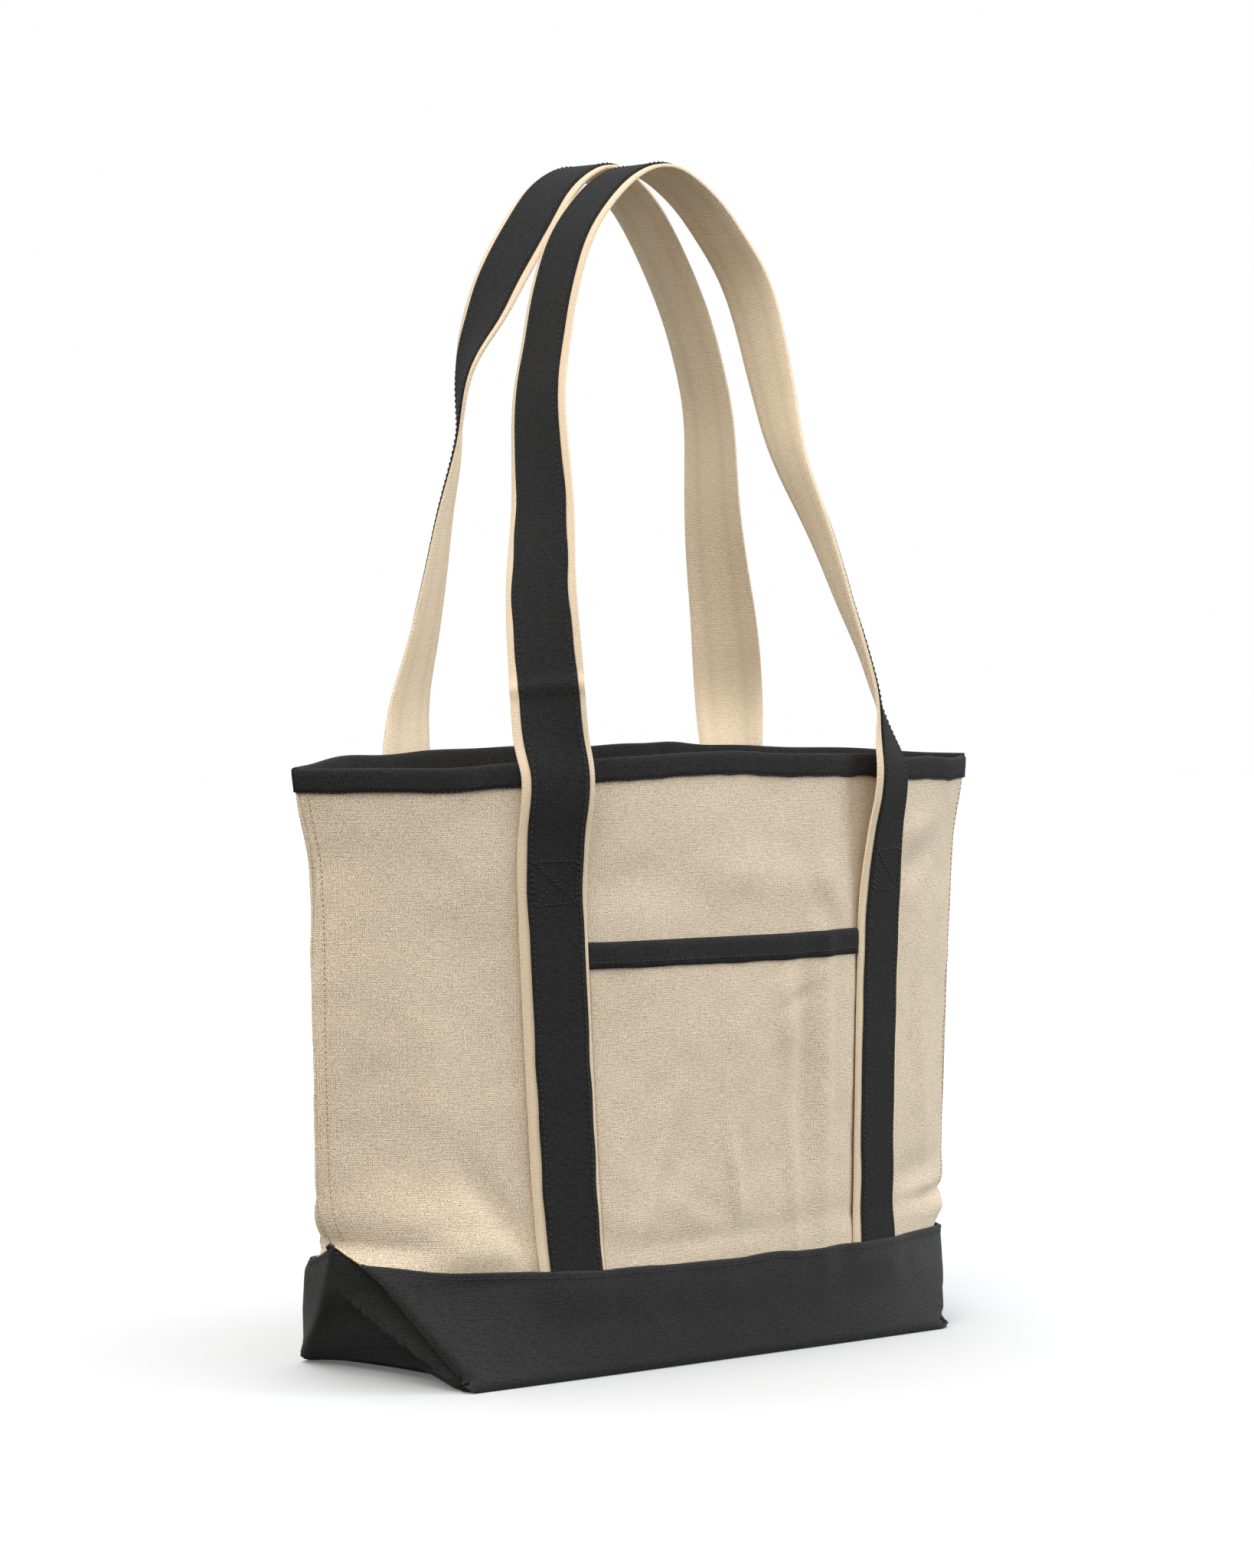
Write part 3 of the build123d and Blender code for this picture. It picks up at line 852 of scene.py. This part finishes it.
def channel_profile(drop_out, drop_in, u, puckers):
    """Section of a tape folded over an edge, as (height above the edge, outward lift)."""
    thick = BINDING_THICK
    zero = np.zeros(len(u))
    wave_out = 0.3 * MM * waves(u * 0.25, 0, 16 * MM, puckers)
    wave_in = 1.4 * MM * waves(u * 0.25, 0, 12 * MM, puckers + 1)
    ripple = 0.22 * MM * waves(u * 0.25, 0, 6 * MM, puckers + 2)
    pleats = 1.3 * MM * waves(u * 0.25, 0, 9 * MM, puckers + 3)
    gap = 0.15 * MM
    section = []
    for along, lift in ((-1.0, 0), (-1.0, 0.5), (-0.985, 1), (-0.72, 1), (-0.45, 1.12), (-0.2, 1.1)):
        out = gap + lift * thick + ripple * lift * -along
        section.append((along * drop_out + wave_out * -along, out))
    over = [
        (0.1 * thick, gap + 0.95 * thick),
        (0.8 * thick, gap + 0.3 * thick),
        (1.15 * thick, -CLOTH / 2),
        (0.8 * thick, -CLOTH - gap - 0.3 * thick),
        (0.1 * thick, -CLOTH - gap - 0.95 * thick),
    ]
    section += [(zero + height, zero + out) for height, out in over]
    for along, lift in ((-0.2, 1.1), (-0.45, 1.15), (-0.72, 1.0), (-0.985, 1), (-1.0, 0.5), (-1.0, 0)):
        out = -CLOTH - gap - lift * thick - np.abs(pleats) * lift * -along
        section.append((along * drop_in + wave_in * -along, out))
    under = [
        (-thick / 2, -CLOTH - gap),
        (0, -CLOTH - 0.1 * gap),
        (0.08 * thick, -CLOTH / 2),
        (0, 0.1 * gap),
        (-thick / 2, gap),
    ]
    return section + [(zero + height, zero + out) for height, out in under]


def channel_piece(name, side, u, top, ground, drop_out, drop_in, puckers):
    """Binding tape over the top edge of a sheet whose outer face is lifted by ground."""
    rows = []
    for height, lift in channel_profile(drop_out, drop_in, u, puckers):
        rows.append(wall(side, u, top + height, ground + lift))
    points = np.array(rows).transpose(1, 0, 2)
    count, sides = points.shape[:2]
    along = np.repeat((u * PANEL_HALF)[:, None], sides, 1)
    steps = np.linalg.norm(np.diff(points, axis=1), axis=2)
    across = np.concatenate([np.zeros((count, 1)), np.cumsum(steps, axis=1)], axis=1)
    cloth = np.stack([along, across], axis=-1)
    faces = tube_faces(count, sides)
    if side > 0:
        faces = [face[::-1] for face in faces]
    piece = new_piece(name, points, faces, cloth, BINDING)
    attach(piece, "bag")
    return piece


def rim_binding(side):
    """The dark tape over one body panel's top edge, sewn through on both faces."""
    word = wall_word(side)
    name = word + "_rim_tape"
    u = np.linspace(-1.0, 1.0, 260)
    top = rim(side, u)
    piece = channel_piece(name, side, u, top, 0.0, BINDING_DROP, BINDING_INSIDE, 70 + side * 3)
    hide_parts(word + "_rim_binding")
    lines = []
    for lift, drop in ((1.3 * MM, 10.4 * MM), (-CLOTH - 1.35 * MM, 9.6 * MM)):
        height = top - drop
        normal = wall_normal(side, u, height) * (1 if lift > 0 else -1)
        lines.append((wall(side, u, height, lift), normal))
    stitches(name + "_stitches", lines, PITCH, GAUGE, DARK_THREAD)


def pocket_lift(x, z):
    """How far the pocket's cloth stands off the wall."""
    across = 1 - np.clip(np.abs(x) / POCKET_HALF, 0, 1) ** 2.2
    upward = np.clip((z - 54 * MM) / (150 * MM), 0, 1) ** 0.8
    return 1.35 * MM + across * 4 * MM * upward


def pocket_shift(x, z):
    """The pocket's left edge follows the leaning leg."""
    follow = strap_place(-1, -1, z) + STRAP_X
    return follow * np.clip(0.5 - x / (2 * POCKET_HALF), 0, 1)


def pocket():
    """The front pocket, with the dark tape over its top edge and that tape's stitch line."""
    x = np.linspace(-POCKET_HALF, POCKET_HALF, 91)
    xx, vv = np.meshgrid(x, np.linspace(0, 1, 70))
    zz = POCKET_FOOT + vv * (POCKET_TOP - POCKET_FOOT)
    uu = share(xx + pocket_shift(xx, zz), zz)
    points = wall(-1, uu, zz, pocket_lift(xx, zz))
    cloth = np.stack([xx + 0.3, zz + 0.2], axis=-1)
    piece = sheet_piece("pocket_cloth", points, cloth)
    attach(piece, "bag")
    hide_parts("pocket_panel")
    x = np.linspace(-POCKET_HALF, POCKET_HALF, 140)
    u = share(x + pocket_shift(x, POCKET_TOP), POCKET_TOP)
    ground = pocket_lift(x, POCKET_TOP)
    top = POCKET_TOP + 0 * u + 0.3 * MM * waves(u * 0.2, 0, 40 * MM, 81)
    tape = channel_piece("pocket_tape", -1, u, top, ground, POCKET_DROP, POCKET_INSIDE, 84)
    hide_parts("pocket_binding")
    height = top - 9 * MM
    line = (wall(-1, u, height, ground + 1.35 * MM), wall_normal(-1, u, height))
    stitches("pocket_tape_stitches", [line], PITCH, GAUGE, DARK_THREAD)


def seams():
    """Turned allowances inside the side seams, and tan stitch lines outside them whose colour is painted
    shade for the warm shadow in each seam's crevice.
    """
    for end, name in ((-1, "left"), (1, "right")):
        z = np.linspace(76 * MM, 287 * MM, 60)
        middle = wall_plain(-1, end * np.ones_like(z), z)
        middle[:, 0] -= end * 7.5 * MM
        middle[:, 1] += 0.6 * MM * waves(z, 0, 30 * MM, 90 + end)
        inward = np.tile([-float(end), 0, 0], (len(z), 1))
        sideways = np.tile([0.0, 1.0, 0.0], (len(z), 1))
        half = [(-1.0, -5.5), (-1.1, 5.0), (-0.6, 5.8)]
        profile = np.array(half + [(-x, y) for x, y in half[::-1]]) * MM
        piece = sweep(name + "_seam_allowance", middle, sideways, inward, profile, NATURAL)
        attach(piece, "bag")
        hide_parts(name + "_side_seam")
        # Painted shade: these tan stitch lines stand in for the warm shadow line in the crevice along
        # each side seam.
        z = np.linspace(72 * MM, 292 * MM, 120)
        lines = []
        for side in (-1, 1):
            u = end * (1 - 4.6 * MM / smooth_profile(z, ROW_WIDTH))
            lines.append((wall(side, u, z, 0.12 * MM), wall_normal(side, u, z)))
        stitches(name + "_seam_shade_stitches", lines, 2.8 * MM, 0.5 * MM, SEAM_SHADE_THREAD)


def boot_stitches(points, normal):
    """The stitch line just under the boot's top edge."""
    row = len(points) - 3
    line = np.concatenate([points[row], points[row, :1]])
    normals = np.concatenate([normal[row], normal[row, :1]])
    line += normals * 0.1 * MM
    stitches("base_boot_stitches", [(line, normals)], PITCH, GAUGE, DARK_THREAD)


# ---- handles

# Each handle's free length seen from its own side: x, y, z (mm) and the heading of its width (degrees).
FRONT_ROUTE = [
    (-114, -71, 318, -34), (-113, -67, 345, -46),
    (-107, -55, 395, -62), (-97, -44, 437, -76),
    (-88, -31, 486, -86), (-79, -25, 517, -90),
    (-70, -22, 548, -90), (-55, -21, 580, -90),
    (-29, -21, 605, -90), (-5, -21, 612, -90),
    (20, -21, 600, -90), (41, -21, 580, -90),
    (59, -22, 555, -90), (72, -27, 508, -95),
    (76, -35, 470, -104), (84, -46, 436, -112),
    (93, -56, 400, -119), (103, -64, 362, -127),
    (110, -68, 338, -131), (113, -70, 322, -142),
]
BACK_ROUTE = [
    (-113, -51, 340, -36), (-105, -46, 376, -56),
    (-95, -41, 410, -70), (-86, -35, 440, -80),
    (-76, -27, 486, -88), (-62, -22, 524, -90),
    (-46, -21, 556, -90), (-28, -21, 586, -90),
    (-10, -21, 605, -88), (12, -21, 615, -84),
    (36, -21, 602, -80), (60, -21, 572, -77),
    (79, -22, 536, -90), (91, -25, 506, -116),
    (91, -30, 470, -130), (95, -37, 428, -139),
    (100, -45, 376, -149), (107, -50, 340, -157),
]


def smooth_path(values, spacing, passes):
    """Catmull-Rom curve through rows of (x, y, z, heading), evenly spaced and eased."""
    padded = np.vstack([2 * values[0] - values[1], values, 2 * values[-1] - values[-2]])
    t = np.linspace(0, 1, 24, endpoint=False)[:, None]
    rows = []
    for a, b, c, d in zip(padded, padded[1:], padded[2:], padded[3:]):
        bend = (2 * a - 5 * b + 4 * c - d) * t**2
        rows.append(0.5 * (2 * b + (c - a) * t + bend + (3 * b - a - 3 * c + d) * t**3))
    dense = np.vstack(rows + [values[-1:]])
    length = distance_along(dense)
    even = rows_at(np.linspace(0, length[-1], int(length[-1] / spacing) + 1), length, dense)
    for _ in range(passes):
        even[1:-1] = (even[:-2] + 2 * even[1:-1] + even[2:]) / 4
    return even


def strap_ground(z):
    """Lift of a sewn strap's underside: under the boot, on the canvas and over the rim binding."""
    out_of_boot = rise(z, 54, 14)
    over_binding = rise(z, 272, 16)
    return 0.4 * MM + 0.6 * MM * out_of_boot + 2.0 * MM * over_binding


def handle_line(side, route):
    """Centre line, width direction and outward normal of a whole strap, from boot to boot."""
    turn = np.array([1.0, 1.0, 1.0]) if side < 0 else np.array([-1.0, -1.0, 1.0])
    rows = []
    for hand in (-1, 1):
        z = np.arange(46, 306, 6)[::-hand] * MM
        u = share(strap_place(hand, side, z), z)
        points = wall(side, u, z, strap_ground(z))
        normal = wall_normal(side, u, z) * turn
        heading = np.degrees(np.arctan2(normal[:, 0], -normal[:, 1])) - (180 if hand > 0 else 0)
        if side < 0:
            twist = LEG_TWIST * rise(z, 225, 80)
            heading += hand * twist
            points = points + (normal * turn) * (WEB / 2 * np.sin(np.radians(twist)))[:, None]
        rows.append(np.column_stack([points * turn, heading]))
    free = np.array(route, float)
    free[:, :3] *= MM
    free[:, 1] += BASE_Y * (1 if side < 0 else -1)
    path = smooth_path(np.vstack([rows[0], free, rows[1]]), 3 * MM, 8)
    centre = path[:, :3]
    angle = np.radians(path[:, 3])
    across = np.stack([np.cos(angle), np.sin(angle), np.zeros(len(angle))], axis=1)
    tangent = unit(np.gradient(centre, axis=0))
    across = unit(across - tangent * np.sum(across * tangent, axis=1, keepdims=True))
    normal = np.cross(across, tangent)
    return centre * turn, across * turn, normal * turn


def handle(side, route):
    """One handle: natural webbing with a narrower dark tape sewn along its outer face."""
    centre, across, normal = handle_line(side, route)
    s = distance_along(centre)
    side_sway = 0.7 * MM * waves(s, 0, 90 * MM, 100 + side)
    side_sway += 0.25 * MM * waves(s, 0, 22 * MM, 103 + side)
    lift_sway = 0.35 * MM * waves(s, 0, 40 * MM, 106 + side)
    z = centre[:, 2]
    free = np.clip((z - 300 * MM) / (40 * MM), 0, 1)
    crease = CREASE_OUT * np.exp(-(((z - CREASE_Z) / CREASE_REACH) ** 2))
    crease = crease * (across[:, 0] > 0) * (side < 0)
    centre = centre + normal * (lift_sway * free + crease)[:, None]
    leg = 1 - rise(centre[:, 2], 300, 80)
    to_right = 1.2 * MM * leg * np.sign(across[:, 0]) * (side < 0)
    trim_centre = centre + normal * (WEB_THICK + 0.05 * MM) + across * (side_sway + to_right)[:, None]
    word = wall_word(side)
    section = tape_profile(WEB, WEB_THICK)
    web = sweep(f"{word}_strap_webbing", centre, across, normal, section, WEBBING)
    section = tape_profile(TRIM, TRIM_THICK)
    trim = sweep(f"{word}_strap_tape", trim_centre, across, normal, section, TAPE)
    strips = ((web, "web", WEB, "natural_webbing"), (trim, "trim", TRIM, "dark_trim"))
    for piece, kind, width, slot in strips:
        legs = (f"{word}_left_leg_{kind}", f"{word}_right_leg_{kind}")
        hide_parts(f"{word}_handle_{kind}", *legs)
        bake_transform(piece)
    lines = []
    for hand in (-1, 1):
        path = trim_centre + across * (hand * (TRIM / 2 - 2 * MM)) + normal * (TRIM_THICK + 0.12 * MM)
        lines.append((path, normal))
    stitches(word + "_strap_stitches", lines, PITCH, GAUGE, DARK_THREAD, f"{word}_handle")
    return trim_centre, across, normal


def point_on_leg(leg, offset, level):
    """A point on a leg's tape at one height, and its outward direction; the leg's rows run upward."""
    found = []
    for rows in leg:
        found.append(np.array([np.interp(level, leg[0][:, 2], rows[:, k]) for k in range(3)]))
    centre, across, normal = found
    return centre + across * offset + normal * (TRIM_THICK + 0.14 * MM), normal


def box_stitches(side, strap):
    """The stitched rectangle and cross at the top of each sewn leg."""
    half = TRIM / 2 - 3.2 * MM
    foot = [(-half, BOX_LOW), (half, BOX_LOW)]
    head = [(half, BOX_HIGH), (-half, BOX_HIGH)]
    corners = foot + head + [foot[0], head[0]]
    strokes = list(zip(corners, corners[1:])) + [(head[1], foot[1])]
    z = strap[0][:, 2]
    middle = len(z) // 2
    lines = []
    for part in (slice(0, middle), slice(middle, len(z))):
        order = np.argsort(z[part])
        leg = [rows[part][order] for rows in strap]
        for (a, low), (b, high) in strokes:
            steps = np.linspace(0, 1, 9)
            pairs = [point_on_leg(leg, a + (b - a) * t, low + (high - low) * t) for t in steps]
            lines.append((np.array([p for p, _ in pairs]), np.array([n for _, n in pairs])))
    word = wall_word(side)
    piece = stitches(f"{word}_box_threads", lines, 2.7 * MM, 0.6 * MM, DARK_THREAD)
    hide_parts(f"{word}_box_stitches")


# ---- stage

CAM_TURN = 40.55
CAM_TILT = 1.61
CAM_AWAY = 2278 * MM
CAM_LEFT = 4 * MM
CAM_HEIGHT = 358 * MM
LENS = 100.1953125
SKY_GLOW = (0.6, 1.7)
FLOOR_HALF = 9
FLOOR_GLOW = (0.1, 0.48)
GLOW_REACH = (0.16, 0.95)


def camera():
    """The view of the front and the left end."""
    azimuth = math.radians(CAM_TURN)
    data = bpy.data.cameras.new("camera")
    data.sensor_fit = "AUTO"
    data.sensor_width = 36
    data.lens = LENS
    cam = in_scene("camera", data)
    x = -CAM_AWAY * math.sin(azimuth) - CAM_LEFT
    cam.location = (x, -CAM_AWAY * math.cos(azimuth) + BASE_Y, CAM_HEIGHT)
    cam.rotation_euler = (math.radians(90 - CAM_TILT), 0, -azimuth)
    bpy.context.scene.camera = cam


def area_light(name, place, target, size, power, colour):
    """A round lamp that faces its target."""
    data = bpy.data.lights.new(name, "AREA")
    data.shape = "DISK"
    data.size = size
    data.energy = power
    data.color = colour
    lamp = in_scene(name, data)
    lamp.location = place
    lamp.rotation_euler = (Vector(target) - Vector(place)).to_track_quat("-Z", "Y").to_euler()


def pale_floor():
    """A floor that the camera sees brighten with distance, and that lights the bag only dimly."""
    mesh = bpy.data.meshes.new("floor")
    square = ((-1, -1), (1, -1), (1, 1), (-1, 1))
    mesh.from_pydata([(x * FLOOR_HALF, y * FLOOR_HALF, 0) for x, y in square], [], [(0, 1, 2, 3)])
    floor = in_scene("floor", mesh)
    n = Nodes(bpy.data.materials.new("floor"))
    away = n.add("ShaderNodeVectorMath", operation="LENGTH")
    n.put(away.inputs[0], n.add("ShaderNodeTexCoord").outputs["Object"])
    n.dress(n.shader, {
        "Base Color": (0.485, 0.497, 0.51, 1),
        "Roughness": 0.95,
        "Specular IOR Level": 0.1,
        "Emission Color": (1, 1, 1, 1),
        "Emission Strength": n.ramp(away.outputs["Value"], *GLOW_REACH, *FLOOR_GLOW),
    })
    dim = n.add("ShaderNodeBsdfDiffuse", {"Color": (0.12, 0.115, 0.105, 1)})
    n.put(n.tree.nodes["Material Output"].inputs["Surface"], n.seen_or_lit(n.shader, dim))
    mesh.materials.append(n.holder)


def surroundings():
    """White behind the bag, and a soft light that grows with height."""
    n = Nodes(bpy.data.worlds.new("studio"))
    seen = n.tree.nodes["Background"]
    n.dress(seen, {"Color": (1, 1, 1, 1), "Strength": 0.995})
    place = n.add("ShaderNodeTexCoord").outputs["Generated"]
    height = n.add("ShaderNodeSeparateXYZ", {"Vector": place}).outputs["Z"]
    glow = n.ramp(height, -0.1, 0.9, *SKY_GLOW)
    around = n.add("ShaderNodeBackground", {"Color": (1.0, 1.0, 0.99, 1), "Strength": glow})
    n.put(n.tree.nodes["World Output"].inputs["Surface"], n.seen_or_lit(seen, around))
    bpy.context.scene.world = n.holder
    bpy.context.scene.view_settings.view_transform = "Standard"


camera()
pale_floor()
surroundings()
area_light("key", (2.1, -1.6, 1.1), (0, 0, 0.15), 1.5, 42, (0.93, 0.97, 1.0))
area_light("fill", (-2.1, -0.9, 2.5), (0, 0, 0.35), 2.4, 66, (1.0, 0.94, 0.87))
canvas_panel(-1)
canvas_panel(1)
bottom()
boot_rows, boot_normals = boot()
boot_stitches(boot_rows, boot_normals)
rim_binding(-1)
rim_binding(1)
pocket()
seams()
for side, route in ((-1, FRONT_ROUTE), (1, BACK_ROUTE)):
    box_stitches(side, handle(side, route))
